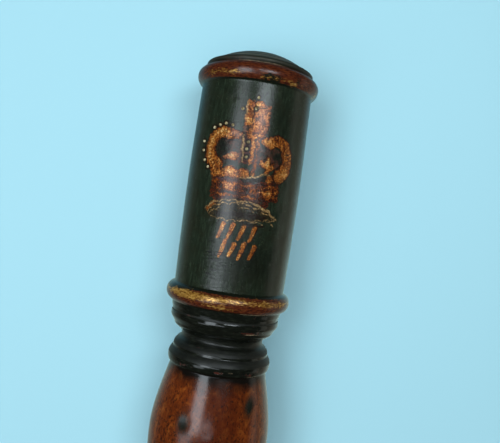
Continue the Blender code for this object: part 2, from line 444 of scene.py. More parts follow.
# Lighter and darker touches on the gilding, brush tone and, along the lamps' streaks, painted highlight:
# (across, up, reach across, reach up, strength)
goldToneAndGlints = [
    (-1.8, 35.7, 0.8, 0.9, 0.16), (-1.0, 33.2, 0.9, 0.5, -0.22), (-1.6, 31.0, 0.5, 1.6, 0.06),
    (-1.0, 29.6, 0.9, 0.9, 0.14), (-0.7, 27.7, 0.9, 0.5, -0.26), (1.0, 34.6, 0.9, 1.0, 0.20),
    (4.0, 30.0, 0.5, 0.5, -0.24), (1.6, 30.2, 0.4, 1.2, -0.12), (3.6, 31.0, 2.0, 4.0, -0.04),
    (-1.8, 26.0, 1.2, 1.4, -0.12), (2.6, 26.2, 2.4, 0.8, -0.08), (-10.6, 26.2, 2.8, 1.0, 0.05),
    (-13.0, 22.2, 0.9, 2.6, 0.06), (-10.4, 15.2, 1.4, 1.6, -0.08), (-10.9, 19.5, 0.5, 3.0, -0.12),
    (-4.4, 25.2, 1.6, 0.9, -0.06), (6.6, 24.0, 1.5, 0.9, 0.14), (10.4, 25.2, 2.2, 1.0, -0.10),
    (14.4, 20.6, 1.6, 3.0, -0.04), (12.6, 26.4, 0.7, 0.4, -0.25), (15.7, 23.2, 0.6, 0.7, -0.25),
    (16.2, 19.0, 0.4, 0.9, -0.25), (12.2, 21.8, 0.4, 1.2, -0.20), (13.4, 16.0, 1.3, 1.3, 0.05),
    (-4.6, 13.3, 2.6, 1.8, 0.06), (-0.2, 13.2, 1.4, 1.3, 0.03), (-8.9, 12.2, 1.6, 0.7, 0.05),
    (6.9, 17.6, 1.2, 2.0, 0.12), (6.2, 15.2, 0.4, 0.6, -0.25), (9.8, 14.6, 0.4, 0.8, -0.22),
    (3.4, 8.2, 4.4, 1.4, -0.12), (-4.4, 8.8, 1.4, 1.4, -0.06), (11.0, 8.0, 1.6, 2.2, -0.08),
    (-9.4, 8.2, 1.6, 2.4, -0.12), (7.6, 8.4, 1.6, 0.7, 0.12), (1.6, 20.5, 0.7, 4.0, 0.05),
    (-1.0, 15.0, 0.8, 0.4, -0.2), (-5.0, 18.5, 2.2, 1.3, 0.12),
]

# Painted highlight: where the lamps' mirrored streaks cross the crown, its paint is lightened to pinkish
# grey, in the same terms
paintedSheen = [
    (3.3, 31.0, 2.6, 4.6, 0.50), (-4.8, 13.0, 2.6, 1.8, 0.30), (-4.6, 9.0, 2.6, 1.6, 0.40),
    (-5.2, 18.4, 2.4, 1.6, 0.60), (-5.0, 3.8, 2.6, 2.2, 0.70), (-4.2, 25.2, 2.0, 1.1, 0.65),
    (-6.0, 11.0, 3.4, 0.5, 0.80), (-0.4, 21.0, 1.7, 4.4, 0.55), (-1.9, 26.8, 1.4, 1.4, 0.60),
    (-4.8, -6.0, 1.4, 3.4, 0.50),
]


def pearlPlaces(k):
    return k["pearlsOnArch"] + k["pearlsOnFront"] + k["pearlsOnCross"]


def crownFields(u, v, k, brush):
    pearls = over(*[disc(u, v, place, k["pearlRadius"]) for place in pearlPlaces(k)])
    # the hand wavers, so every edge does
    u = u + 0.16 * np.sin(v * 1.9 + 0.6 * np.sin(u)) + 0.10 * np.sin(v * 4.7 + u)
    v = v + 0.16 * np.sin(u * 1.7 + 1.0) + 0.09 * np.sin(u * 4.3 + v)
    left, right = k["leftArch"], k["rightArch"]
    leftArch = stroke(u, v, [k["leftEnds"][0]] + bow(**left) + [k["leftEnds"][1]])
    rightArch = stroke(u, v, [k["rightEnds"][0]] + bow(**right) + [k["rightEnds"][1]])
    rooms = [disc(u, v, *place) for place in k["roomDiscs"]]
    rooms += [slab(u, v, *sides) for sides in k["roomSlabs"]]
    front = slab(u, v, *k["front"])

    # a cross with flaring arms, on an orb
    cu, cv = k["crossMiddle"]
    ru, rv = k["crossReach"]
    core, tips = k["crossCore"], k["crossTips"]
    cross = over(
        stroke(u, v, [(cu, cv, core), (cu, cv + rv - tips, tips)]),
        stroke(u, v, [(cu, cv, core), (cu, cv - rv + tips, tips)]),
        stroke(u, v, [(cu - ru + tips, cv, tips), (cu, cv, core), (cu + ru - tips, cv, tips)]),
        slab(u, v, cu - ru, cu - 1.6, cv - rv + 0.8, cv + rv),
        slab(u, v, cu - 0.8, cu + ru, cv - rv + 0.2, cv + rv - 1.0))
    orb = disc(u, v, k["orb"], k["orbRadius"])

    # the rim's ornaments
    circletLeft, circletRight, circletLow, rim = k["circlet"]
    fan = np.minimum(disc(u, v, k["fan"], k["fanRadius"]), v - rim - 0.1)
    knobs = over(strokes(u, v, brush["rimKnobs"]), *[disc(u, v, *knob) for knob in k["knobs"]])
    lily = strokes(u, v, brush["lily"])

    # the circlet rises at its right end and carries gilt lines and lozenges
    lift = 0.035 * np.maximum(u - 4.0, 0) ** 1.7
    circlet = slab(u, v - lift, circletLeft, circletRight, circletLow, rim)
    lines = over(*[
        0.30 + 0.16 * np.sin(u * 0.8 + 2 * line) - np.abs(v - lift - line - 0.14 * np.sin(u * 1.3 + line))
        for line in k["circletLines"]])
    lines = np.minimum(lines, circlet - 0.2)
    lozenges = over(
        *[slab(u, v, *panel) for panel in k["panels"]],
        1.7 - np.abs(u - 4.4) * 0.5 - np.abs(v - 8.3) * 1.1,
        1.7 - np.abs(u - 8.3) * 0.6 - np.abs(v - lift - 7.6) * 0.9)
    gap = strokes(u, v, brush["gap"])
    giltParts = [leftArch, rightArch, cross, orb, knobs, lily, fan, lines, lozenges]
    gold = np.minimum(over(*giltParts, strokes(u, v, brush["gold"])), -gap)

    # ermine: olive hair over a nearly black band, under thin double lines
    fur = stroke(u, v, k["fur"])
    wave = 0.16 * np.sin(u * 2.2) + 0.08 * np.sin(u * 5.1 + 1)
    tails = [[(place, top, 0.3), (place + 0.5, top - 1.4, 0.15)] for place, top in k["furTails"]]

    # dark outlines, and the dark rings that the pearls sit in, which are partly painted shade round the
    # raised drops
    dark = over(
        np.minimum(0.18 - np.abs(leftArch + 0.05), v - 14.0),
        0.18 - np.abs(rightArch + 0.05),
        np.minimum(0.14 - np.abs(cross + 0.05), 33.0 - v),
        0.10 - np.abs(knobs),
        0.15 - np.abs(lily + 0.05),
        0.34 - np.abs(pearls + 0.2),
        np.minimum(gap, 0.6),
        np.minimum(strokes(u, v, tails), fur),
        strokes(u, v, brush["dark"]))
    gold = over(gold, strokes(u, v, brush["goldOnFur"]))
    pale = over(
        np.minimum(0.20 - np.abs(fur - 0.30 + wave), v - 1.0),
        np.minimum(0.11 - np.abs(fur - 0.30 - wave), 0.6 - v),
        strokes(u, v - wave, brush["palePastFur"]),
        strokes(u, v + wave, brush["paleAgainst"]),
        strokes(u, v, brush["pale"]))

    # small beads of lighter gold stand along the left arch, and fine marks are drawn across both
    beads = [disc(u, v, place, k["archBeadRadius"]) for place in bow(left["middle"], **k["archBeads"])]
    tone = 0.14 * np.clip(over(*beads) / 0.4, 0, 1)
    frontLeft, frontRight = k["front"][:2]
    for arch, side in ((left, u < frontLeft), (right, u > frontRight)):
        (middleU, middleV), reach = arch["middle"], arch["reach"][0]
        around = np.arctan2(v - middleV, u - middleU) * reach
        away = np.hypot(u - middleU, v - middleV)
        waver = 1.3 * np.sin(away * 2.7) + np.sin(around * 0.9)
        marks = 0.06 * np.sin(2 * math.pi * around / k["hatchSpacing"] + waver)
        tone += np.where(side & (v > 13) & (away < 10), marks, 0)
    # the lighter touches along the lamps' streaks are painted highlight
    tone += touches(u, v, goldToneAndGlints)
    tone -= 0.12 * np.exp(-((gold - 0.15) / 0.3) ** 2)
    tone += 0.06 * np.clip(lines / 0.25, 0, 1)
    return {
        "crownRoom": over(*rooms),
        "crownCrimson": over(front, np.minimum(circlet, -gap), strokes(u, v, brush["foot"])),
        "crownFur": fur,
        "crownGold": gold,
        "crownToneAndGlint": tone,
        "crownPaintedSheen": over(*[touches(u, v, [place]) for place in paintedSheen]),
        "crownLine": dark,
        "crownPale": pale,
    }


# Rows of slanting gilt strokes under the crown, where the staff carried its lettering
giltStrokes = {
    "rows": (-5.2, -10.9), "count": 4, "from": -5.6, "spacing": 3.3, "height": 4.6, "slant": 1.4,
    "halves": (0.45, 0.65, 0.75), "shadeHalves": (0.15, 0.35),
}


def strokeFields(u, v, g):
    gold, shade = [], []
    footHalf, middleHalf, topHalf = g["halves"]
    lowShade, highShade = g["shadeHalves"]
    for row, middle in enumerate(g["rows"]):
        for i in range(g["count"]):
            foot = g["from"] + g["spacing"] * (i + 0.3 * row) + 0.25 * math.sin(5.0 * i + row)
            tall = g["height"] * (0.95 + 0.12 * math.sin(3.0 * i + 2.0 * row))
            low, high = middle - tall / 2, middle + tall / 2
            bend = foot + 0.6 * g["slant"]
            top = foot + g["slant"]
            gold.append([(foot, low, footHalf), (bend, middle, middleHalf), (top, high, topHalf)])
            shade.append([(foot + 0.8, low, lowShade), (top + 0.75, high - 0.5, highShade)])
    return strokes(u, v, gold), strokes(u, v, shade)


def rolledOut(coords, axisHeight, c):
    # across, up and the distance from the axis of each point, in millimetres, as the drum is rolled out flat
    y, z = coords[:, 1] / mm, (coords[:, 2] - axisHeight) / mm
    up = (coords[:, 0] - staffLow.x) / mm - c["fromButt"]
    return c["rollRadius"] * np.arctan2(-y, z), up, np.hypot(y, z)


# How much gold leaf and black paint the two beads keep, the foot bead's black partly painted shade, across
# and along:
# along runs from 0 at the lower edge of each bead to 1 at its upper one
beadPaint = {
    "footLeaf": 0.29,
    "footCrest": (0.34, 0.62, 0.19),  # strength, middle and reach
    "footRound": ([-22, -14, -3, 4, 7, 12, 18], [0.7, 1.0, 1.0, 0.72, 0.62, 0.86, 0.7]),
    "footTouches": [(-2, 0.26, 7, 0.12, 0.16), (-12, 0.6, 5, 0.2, 0.2)],
    "footBlack": ([0, 0.04, 0.08, 0.80, 0.93], [0.8, 0.7, 0.2, 0.2, 0.8]),
    # painted shade: more black over the upper part of the foot bead, on its left side
    "footShadow": ([0.60, 0.78], [0, 1]),
    "footShadowRound": ([-22, -15, -9], [0.6, 0.48, 0]),
    "headLeaf": 0.26,
    "headTouches": [
        (-7, 0.31, 5, 0.15, 0.22), (-15, 0.34, 5, 0.2, 0.2),
        (5, 0.2, 4, 0.14, 0.17), (13, 0.2, 3.5, 0.16, 0.2)],
    "headBlack": ([0, 0.05, 0.10, 1], [0.85, 0.75, 0.22, 0.2]),
    "headBlackTouches": [(4.0, 0.24, 4.2, 0.2, 0.42), (12.5, 0.32, 1.6, 0.25, 0.34)],
    "footUnseen": (26, 0.5), "headUnseen": (24, 0.45),  # past this far round, this much leaf is kept
}


def beadWear(u, x, zoneEnds, b):
    # gives the leaf and the black that are left, the foot bead's black with painted shade added, against a
    # noise that runs from 0 to 1
    foot = (x - zoneEnds["neck"]) / (zoneEnds["footBead"] - zoneEnds["neck"])
    head = (x - zoneEnds["drum"]) / (zoneEnds["headBead"] - zoneEnds["drum"])
    strength, middle, reach = b["footCrest"]
    crest = strength * np.interp(u, *b["footRound"]) * np.exp(-((foot - middle) / reach) ** 2)
    footLeaf = b["footLeaf"] + crest + touches(u, foot, b["footTouches"])
    footBlack = np.interp(foot, *b["footBlack"])
    footBlack += np.interp(u, *b["footShadowRound"]) * np.interp(foot, *b["footShadow"])
    headLeaf = b["headLeaf"] + touches(u, head, b["headTouches"])
    headBlack = np.interp(head, *b["headBlack"]) + touches(u, head, b["headBlackTouches"])
    (footSide, footKept), (headSide, headKept) = b["footUnseen"], b["headUnseen"]
    footLeaf = np.where(np.abs(u) > footSide, footKept, footLeaf)
    headLeaf = np.where(np.abs(u) > headSide, headKept, headLeaf)
    onFoot = foot < 1.2
    return np.where(onFoot, footLeaf, headLeaf), np.where(onFoot, footBlack, headBlack)


# Where an edge shows a pale line, partly paint worn down to the pale ground and partly painted highlight on
# the edge, or where the neck's black is rubbed to red-brown: (across, from the butt, reach across, reach
# along, strength)
edgePlaces = {
    "pale": [
        (10, 141.85, 9, 0.28, 1), (-17, 141.9, 6, 0.3, 1), (1, 220.9, 14, 0.4, 1), (16, 121.2, 8, 0.35, 0.8),
        (11.5, 135.1, 5.5, 0.28, 0.9), (5, 122.7, 2.5, 0.4, 0.7), (-8, 134.6, 9, 0.25, 0.55),
        (9, 133.6, 7, 0.25, 0.6)],
    "rubbed": [
        (11, 135.5, 6, 0.7, 1), (1.5, 122.3, 3.5, 0.6, 0.85), (13, 122.6, 4.5, 1.2, 0.8),
        (-12, 122.4, 3, 0.5, 0.7), (-10, 138.6, 6, 0.5, 0.6), (12, 138.3, 6, 0.5, 0.5)],
    "capPaleAndGlint": [(5, 15.6, 8, 0.3, 0.85), (-8, 16.6, 6, 0.3, 0.8)],  # by the distance from the axis
    "unseen": (25, 137.0, 0.6, 0.5),  # past this far round: from the butt, reach and strength
}


def edgeWearAndGlint(u, x, out, zoneEnds, e):
    pale = touches(u, x, e["pale"])
    pale += np.where(x > zoneEnds["headBead"], touches(u, out, e["capPaleAndGlint"]), 0)
    side, middle, reach, strength = e["unseen"]
    rubbed = touches(u, x, e["rubbed"])
    rubbed += np.where(np.abs(u) > side, strength * np.exp(-((x - middle) / reach) ** 2), 0)
    return pale, rubbed


# Patches over the staff: scuffs, flecks, a darker red middle on the grip, and painted shade on the right of
# the drum: (across, up, reach across, reach up, strength)
wearPatches = {
    "redder": [(4.0, -64, 7.0, 15, 1), (-1, -74, 6, 5, 0.9)],
    # painted shade: the drum is darkened on its right side, low down and near the crown's top
    "drumPaintedShade": [(7, -14, 9, 8, 0.75), (11, 30, 6, 9, 0.35)],
    "scuffed": [(7, 31, 2, 4, 1), (8.5, -8, 2, 2, 1)],
    "specked": [(-12, -72, 5, 9, 1), (2, -76, 6, 5, 1)],
}

# Bands that run right round: dull varnish on the neck, by the distance from the butt, rings on the cap, and
# the wood darkening below the collar
bandWear = {
    "dull": [
        ([123.85, 124.15, 126.1, 126.4], [0, 0.75, 0.75, 0]),
        ([126.9, 127.1, 128.2, 129.4, 131.4, 133.0], [0, 0.9, 0.9, 0.5, 0.5, 0])],
    "dullLine": (138.5, 0.3),  # middle and reach
    "capRings": [(0.35, 1.9, 1.0), (0.15, 0.7, 0.0)],  # strength, spacing and turn
    "capMiddle": ([4, 9], [0.2, 1]),
    "capUnseen": ([20, 30], [1, 0.4]),
    # how far below the collar the wood darkens
    "collarDarkReach": 7.0,
}


def bandFields(u, v, x, out, zoneEnds, b, w, c):
    dull = sum(np.interp(x, *stretch) for stretch in b["dull"])
    middle, reach = b["dullLine"]
    ringed = sum(a * np.sin(2 * math.pi * out / spacing + turn) for a, spacing, turn in b["capRings"])
    ringed = 0.5 + ringed * np.interp(out, *b["capMiddle"]) * np.interp(np.abs(u), *b["capUnseen"])
    across = u * out / c["rollRadius"]
    stain = [near(across, v, (cu, cv), (radius * 0.95, radius * 1.5)) for cu, cv, radius, _ in w["bruises"]]
    return {
        "dusty": dull + np.exp(-((x - middle) / reach) ** 2),
        "capRings": np.where(x > zoneEnds["headBead"], ringed, 0.5),
        "bruise": np.minimum(1.5 * over(*stain), 1),
        "wrinkled": near(u, v, w["wrinkled"][:2], w["wrinkled"][2:]),
        "underCollar": np.clip(1 - (zoneEnds["handle"] - x) / b["collarDarkReach"], 0, 1),
    }


def paintStaff(mesh, axisHeight, zoneEnds, c):
    # stores each painted field on the mesh's points, for the finishes to read
    coords = np.zeros(len(mesh.vertices) * 3, np.float32)
    mesh.vertices.foreach_get("co", coords)
    u, v, out = rolledOut(coords.reshape(-1, 3).astype(float), axisHeight, c)
    x = v + c["fromButt"]
    on = (v > c["low"]) & (v < c["high"]) & (np.abs(u) < c["halfWidth"])
    fields = crownFields(u, v, crown, crownStrokes)
    gilt, shade = strokeFields(u, v, giltStrokes)
    fields["crownGold"] = over(fields["crownGold"], gilt)
    fields["crownLine"] = over(fields["crownLine"], np.minimum(shade, 0.1 - gilt))
    for name, values in fields.items():
        fields[name] = np.where(on, np.clip(values, -4, 4), -4)
    fields["leafLeft"], fields["blackLeft"] = beadWear(u, x, zoneEnds, beadPaint)
    fields["edgePaleAndGlint"], fields["rubbed"] = edgeWearAndGlint(u, x, out, zoneEnds, edgePlaces)
    for name, places in wearPatches.items():
        fields[name] = touches(u, v, places)
    fields.update(bandFields(u, v, x, out, zoneEnds, bandWear, handWear, c))
    for name, values in fields.items():
        layer = mesh.attributes.new(name, "FLOAT", "POINT")
        layer.data.foreach_set("value", np.asarray(values, np.float32))
    print("crown and wear painted on", len(mesh.vertices), "points")


# Materials

def newFinish(name, *fields):
    # a material, what adds its nodes, its shader, the place in millimetres and the painted fields it reads
    material = bpy.data.materials.new(name)
    material.use_nodes = True
    shader = material.node_tree.nodes["Principled BSDF"]
    add = partial(addNode, material.node_tree)
    coords = add("TexCoord", out="Object")
    place = add("VectorMath", {0: coords, "Scale": 1000.0}, operation="SCALE")
    painted = [add("Attribute", attribute_name=field, out="Fac") for field in fields]
    return material, add, shader, place, *painted


def layOver(add, colour, coats):
    # lays colours over one another, each as far as its mask lets it
    for mask, coat in coats:
        colour = add("Mix", {0: mask, 6: colour, 7: coat}, out=2, data_type="RGBA")
    return colour


def paintedMask(add, field, ragged, kept, softness=0.08):
    # the inside of a painted field, with a ragged edge and worn places
    inside = add("Attribute", attribute_name=field, out="Fac")
    moved = add("Math", {0: inside, 1: ragged}, operation="ADD")
    edge = add("MapRange", {"Value": moved, "From Min": -softness, "From Max": softness})
    return add("Math", {0: edge, 1: kept}, operation="MULTIPLY")


def paleEdgeAndGlint(add, colour, pale, chips):
    # thin pale lines along edges: partly paint lost down to the ground, partly painted highlight on the edge
    broken = add("Math", {0: pale, 1: chips}, operation="MULTIPLY")
    mask = add("MapRange", {"Value": broken, "From Min": 0.28, "From Max": 0.44, "To Max": 0.75})
    return layOver(add, colour, [(mask, "#A08C70")])


def japannedDrum():
    # black-green oil paint under old varnish, brushed along the staff: glossy, streaky and finely crazed
    material, add, surface, place, wrinkled, drumShade, scuffed, tone, sheen = newFinish(
        "japannedDrum", "wrinkled", "drumPaintedShade", "scuffed", "crownToneAndGlint", "crownPaintedSheen")
    lengthways = add("Mapping", {"Vector": place, "Scale": (0.25, 1.0, 1.0)})
    crossways = add("Mapping", {"Vector": place, "Scale": (1.7, 0.22, 0.22)})
    brushed = add("TexNoise", {"Vector": lengthways, "Scale": 1.1, "Detail": 5.0, "Roughness": 0.6})
    mottle = add("TexNoise", {"Vector": place, "Scale": 0.22, "Detail": 5.0, "Roughness": 0.65})
    specks = add("TexNoise", {"Vector": place, "Scale": 2.8, "Detail": 3.0, "Roughness": 0.7})
    crazing = add("TexNoise", {"Vector": crossways, "Scale": 1.0, "Detail": 3.0, "Roughness": 0.6})
    green = add("ValToRGB", {"Fac": brushed}, stops=[
        (0.30, "#121910"), (0.50, "#1C251A"), (0.65, "#242E22"), (0.85, "#323E2E")])
    olive = add("MapRange", {"Value": mottle, "From Min": 0.48, "From Max": 0.72, "To Max": 0.65})
    lifted = add("Math", {0: scuffed, 1: 0.07, 2: specks}, operation="MULTIPLY_ADD")
    flecked = add("MapRange", {"Value": lifted, "From Min": 0.64, "From Max": 0.74, "To Max": 0.55})
    pitted = add("MapRange", {"Value": specks, "From Min": 0.38, "From Max": 0.30, "To Max": 0.8})
    # the darker patches on the right of the drum are painted shade
    ground = layOver(add, green, [
        (olive, "#1F1E12"), (drumShade, "#0B0F09"), (flecked, "#4F5B40"), (pitted, "#070A06")])

    # hand painting: every edge wanders by a quarter of a millimetre, the fine lines by less
    wander = add("TexNoise", {"Vector": place, "Scale": 1.6, "Detail": 4.0, "Roughness": 0.65})
    ragged = add("Math", {0: wander, 1: 1.0, 2: -0.5}, operation="MULTIPLY_ADD")
    fineRagged = add("Math", {0: wander, 1: 0.6, 2: -0.3}, operation="MULTIPLY_ADD")
    flaking = add("TexNoise", {"Vector": place, "Scale": 2.0, "Detail": 6.0, "Roughness": 0.72})
    kept = add("MapRange", {"Value": flaking, "From Min": 0.42, "From Max": 0.49, "To Min": 0.12})
    dabs = add("TexNoise", {"Vector": place, "Scale": 3.0, "Detail": 4.0, "Roughness": 0.68})
    patches = add("TexNoise", {"Vector": place, "Scale": 0.5, "Detail": 3.0, "Roughness": 0.6})
    stipple = add("Mix", {0: 0.3, 2: dabs, 3: patches})
    contrast = add("Math", {0: stipple, 1: 1.7, 2: -0.35}, operation="MULTIPLY_ADD")
    # the tone carries brush variation and some painted highlight
    goldLight = add("Math", {0: contrast, 1: tone}, operation="ADD")
    gold = add("ValToRGB", {"Fac": goldLight}, stops=[
        (0.30, "#1E0B05"), (0.41, "#5C270C"), (0.51, "#984E1A"), (0.61, "#C47A2E"), (0.73, "#E0B468"),
        (0.86, "#F4E2AE")])
    pale = add("ValToRGB", {"Fac": stipple}, stops=[
        (0.40, "#3C2812"), (0.48, "#7C5E38"), (0.56, "#AC8A5A"), (0.66, "#D8C096")])
    crimson = add("ValToRGB", {"Fac": stipple}, stops=[
        (0.38, "#0E0504"), (0.47, "#290E07"), (0.56, "#4C1B0A"), (0.68, "#7E3A14")])
    fur = add("ValToRGB", {"Fac": stipple}, stops=[
        (0.40, "#0A0906"), (0.50, "#1C170E"), (0.60, "#40341F")])
    room = add("ValToRGB", {"Fac": mottle}, stops=[
        (0.40, "#11120F"), (0.50, "#241B16"), (0.60, "#4A2A20")])
    # painted highlight: the gold and crimson go pinkish grey along the lamps' mirrored streaks
    patchySheen = add("Math", {0: sheen, 1: dabs}, operation="MULTIPLY")
    sheenMask = add("MapRange", {"Value": patchySheen, "From Min": 0.1, "From Max": 0.42, "To Max": 0.7})
    gold = layOver(add, gold, [(sheenMask, "#846456")])
    crimson = layOver(add, crimson, [(sheenMask, "#52343C")])
    gilt = paintedMask(add, "crownGold", ragged, kept)
    cracked = add("Math", {0: wrinkled, 1: -0.14, 2: crazing}, operation="MULTIPLY_ADD")
    cracks = add("MapRange", {"Value": cracked, "From Min": 0.33, "From Max": 0.28, "To Max": 0.9})
    colour = layOver(add, ground, [
        (paintedMask(add, "crownRoom", ragged, kept), room),
        (paintedMask(add, "crownCrimson", ragged, kept), crimson),
        (paintedMask(add, "crownFur", ragged, kept), fur),
        (gilt, gold),
        (paintedMask(add, "crownLine", fineRagged, kept), "#190B06"),
        (paintedMask(add, "crownPale", fineRagged, kept), pale),
        (cracks, "#060806")])

    # brush marks and crazing, in real depths
    ridges = add("Bump", {"Height": brushed, "Distance": 0.03 * mm, "Strength": 1.0})
    crazed = add("Bump", {"Height": crazing, "Distance": 0.05 * mm, "Normal": ridges})
    puckered = add("Bump", {
        "Height": crazing, "Distance": 0.2 * mm, "Strength": wrinkled, "Normal": crazed})
    lumpy = add("Bump", {"Height": stipple, "Distance": 0.05 * mm, "Normal": puckered})
    roughness = add("MapRange", {"Value": specks, "To Min": 0.14, "To Max": 0.34})
    metal = add("Math", {0: gilt, 1: 0.25}, operation="MULTIPLY")
    setInputs(surface, {
        "Base Color": colour, "Roughness": roughness, "Metallic": metal, "Normal": lumpy, "IOR": 1.5})
    return material


def wornGilding():
    # varnished gold leaf over red-brown bole: yellow where the leaf is left, dark red-brown where it is worn
    material, add, surface, place, left, black, pale = newFinish(
        "wornGilding", "leafLeft", "blackLeft", "edgePaleAndGlint")
    around = add("Mapping", {"Vector": place, "Scale": (1.5, 0.4, 0.4)})
    flakes = add("TexNoise", {"Vector": around, "Scale": 3.2, "Detail": 6.0, "Roughness": 0.76})
    drift = add("TexNoise", {"Vector": place, "Scale": 0.3, "Detail": 3.0, "Roughness": 0.6})
    tone = add("TexNoise", {"Vector": around, "Scale": 1.8, "Detail": 5.0, "Roughness": 0.7})
    shifted = add("Math", {0: drift, 1: 0.5, 2: -0.25}, operation="MULTIPLY_ADD")
    amount = add("Math", {0: left, 1: shifted}, operation="ADD")
    against = add("Math", {0: amount, 1: flakes}, operation="SUBTRACT")
    leaf = add("MapRange", {"Value": against, "From Min": -0.02, "From Max": 0.015})
    blackAgainst = add("Math", {0: black, 1: tone}, operation="SUBTRACT")
    painted = add("MapRange", {"Value": blackAgainst, "From Min": -0.06, "From Max": 0.04})
    bole = add("ValToRGB", {"Fac": tone}, stops=[
        (0.32, "#220E08"), (0.45, "#3C170B"), (0.55, "#50220F"), (0.70, "#6A3C1C")])
    gold = add("ValToRGB", {"Fac": tone}, stops=[
        (0.34, "#40230C"), (0.46, "#865A22"), (0.58, "#CB9C4A"), (0.70, "#F0D28C")])
    colour = layOver(add, bole, [(painted, "#12160F"), (leaf, gold)])
    colour = paleEdgeAndGlint(add, colour, pale, tone)
    metal = add("Math", {0: leaf, 1: 0.4}, operation="MULTIPLY")
    pitted = add("Bump", {"Height": flakes, "Distance": 0.035 * mm, "Strength": 1.0})
    setInputs(surface, {
        "Base Color": colour, "Metallic": metal, "Roughness": 0.22, "Normal": pitted, "IOR": 1.5})
    return material


def blackNeck():
    # black paint under varnish, laid on in the lathe: bright on the crests, rubbed to red-brown on the edges
    material, add, surface, place, rubbed, dusty, pale = newFinish(
        "blackNeck", "rubbed", "dusty", "edgePaleAndGlint")
    around = add("Mapping", {"Vector": place, "Scale": (2.2, 0.5, 0.5)})
    streaks = add("TexNoise", {"Vector": around, "Scale": 1.0, "Detail": 3.0, "Roughness": 0.5})
    chips = add("TexNoise", {"Vector": place, "Scale": 0.55, "Detail": 6.0, "Roughness": 0.7})
    bare = add("Math", {0: rubbed, 1: 0.24, 2: chips}, operation="MULTIPLY_ADD")
    worn = add("MapRange", {"Value": bare, "From Min": 0.66, "From Max": 0.72, "To Max": 0.9})
    black = add("ValToRGB", {"Fac": streaks}, stops=[
        (0.32, "#090B08"), (0.52, "#0F120D"), (0.72, "#1C1F18")])
    colour = paleEdgeAndGlint(add, layOver(add, black, [(worn, "#46221A")]), pale, chips)
    bump = add("Bump", {"Height": streaks, "Distance": 0.002 * mm, "Strength": 1.0})
    chipped = add("Bump", {"Height": worn, "Distance": -0.05 * mm, "Normal": bump})
    roughness = add("MapRange", {"Value": dusty, "To Min": 0.13, "To Max": 0.6})
    setInputs(surface, {"Base Color": colour, "Roughness": roughness, "Normal": chipped, "IOR": 1.5})
    return material


def polishedWood():
    # fruitwood stained red-brown under shellac: grain along the staff, dark pores and flecks, a deep gloss
    material, add, surface, place, centre, specked, under, bruise = newFinish(
        "polishedWood", "redder", "specked", "underCollar", "bruise")
    grainwise = add("Mapping", {"Vector": place, "Scale": (0.7, 1.0, 1.0)})
    grain = add("TexNoise", {
        "Vector": grainwise, "Scale": 0.45, "Detail": 8.0, "Roughness": 0.72, "Distortion": 0.5})
    cloud = add("TexNoise", {"Vector": place, "Scale": 0.09, "Detail": 3.0})
    poreSpace = add("Mapping", {"Vector": place, "Scale": (0.9, 1.6, 1.6)})
    pores = add("TexNoise", {"Vector": poreSpace, "Scale": 1.0, "Detail": 4.0, "Roughness": 0.75})
    wood = add("ValToRGB", {"Fac": grain}, stops=[
        (0.34, "#481C07"), (0.44, "#5C260A"), (0.52, "#682D0C"), (0.66, "#864618")])
    redness = add("Math", {0: cloud, 1: centre}, operation="MULTIPLY")
    redder = add("MapRange", {"Value": redness, "From Min": 0.06, "From Max": 0.42, "To Max": 0.62})
    marked = add("Math", {0: specked, 1: 0.06, 2: pores}, operation="MULTIPLY_ADD")
    flecks = add("MapRange", {"Value": marked, "From Min": 0.54, "From Max": 0.64, "To Max": 0.85})
    # the wood is darker over the last few millimetres below the collar, broken by a cloudy noise
    cloudy = add("Math", {0: cloud, 1: 1.4, 2: -0.55}, operation="MULTIPLY_ADD")
    reach = add("Math", {0: under, 1: cloudy}, operation="ADD")
    stained = add("MapRange", {"Value": reach, "From Min": 0.35, "From Max": 1.0})
    wood = layOver(add, wood, [
        (redder, "#360F04"), (flecks, "#180A05"), (stained, "#0D0906"), (bruise, "#14160F")])
    bump = add("Bump", {"Height": pores, "Distance": 0.02 * mm, "Strength": 1.0})
    roughness = add("MapRange", {"Value": pores, "To Min": 0.12, "To Max": 0.24})
    setInputs(surface, {"Base Color": wood, "Roughness": roughness, "Normal": bump, "IOR": 1.52})
    return material


def blackenedCap():
    # black paint gone brown with handling, worn to the wood in rings round the dome
    material, add, surface, place, turned, pale = newFinish("blackenedCap", "capRings", "edgePaleAndGlint")
    rings = add("Mapping", {"Vector": place, "Scale": (2.0, 0.3, 0.3)})
    lathe = add("TexNoise", {"Vector": rings, "Scale": 1.0, "Detail": 5.0, "Roughness": 0.65})
    patches = add("TexNoise", {"Vector": place, "Scale": 0.25, "Detail": 6.0, "Roughness": 0.7})
    tooled = add("Mix", {0: 0.55, 2: lathe, 3: turned})
    dark = add("ValToRGB", {"Fac": tooled}, stops=[
        (0.28, "#16170F"), (0.45, "#303128"), (0.58, "#4A4A3E"), (0.74, "#736A54")])
    worn = add("MapRange", {"Value": patches, "From Min": 0.56, "From Max": 0.66, "To Max": 0.6})
    colour = paleEdgeAndGlint(add, layOver(add, dark, [(worn, "#4C2E24")]), pale, patches)
    bump = add("Bump", {"Height": tooled, "Distance": 0.14 * mm, "Strength": 1.0})
    setInputs(surface, {"Base Color": colour, "Roughness": 0.45, "Normal": bump, "IOR": 1.45})
    return material


def pearlPaint():
    # thick drops of white lead paint, yellowed by the varnish
    material, add, surface, place = newFinish("pearlPaint")
    dirt = add("TexNoise", {"Vector": place, "Scale": 1.5, "Detail": 3.0})
    colour = add("ValToRGB", {"Fac": dirt}, stops=[
        (0.35, "#5E5038"), (0.50, "#A2946C"), (0.66, "#DCD2B0")])
    setInputs(surface, {"Base Color": colour, "Roughness": 0.12, "IOR": 1.5})
    return material


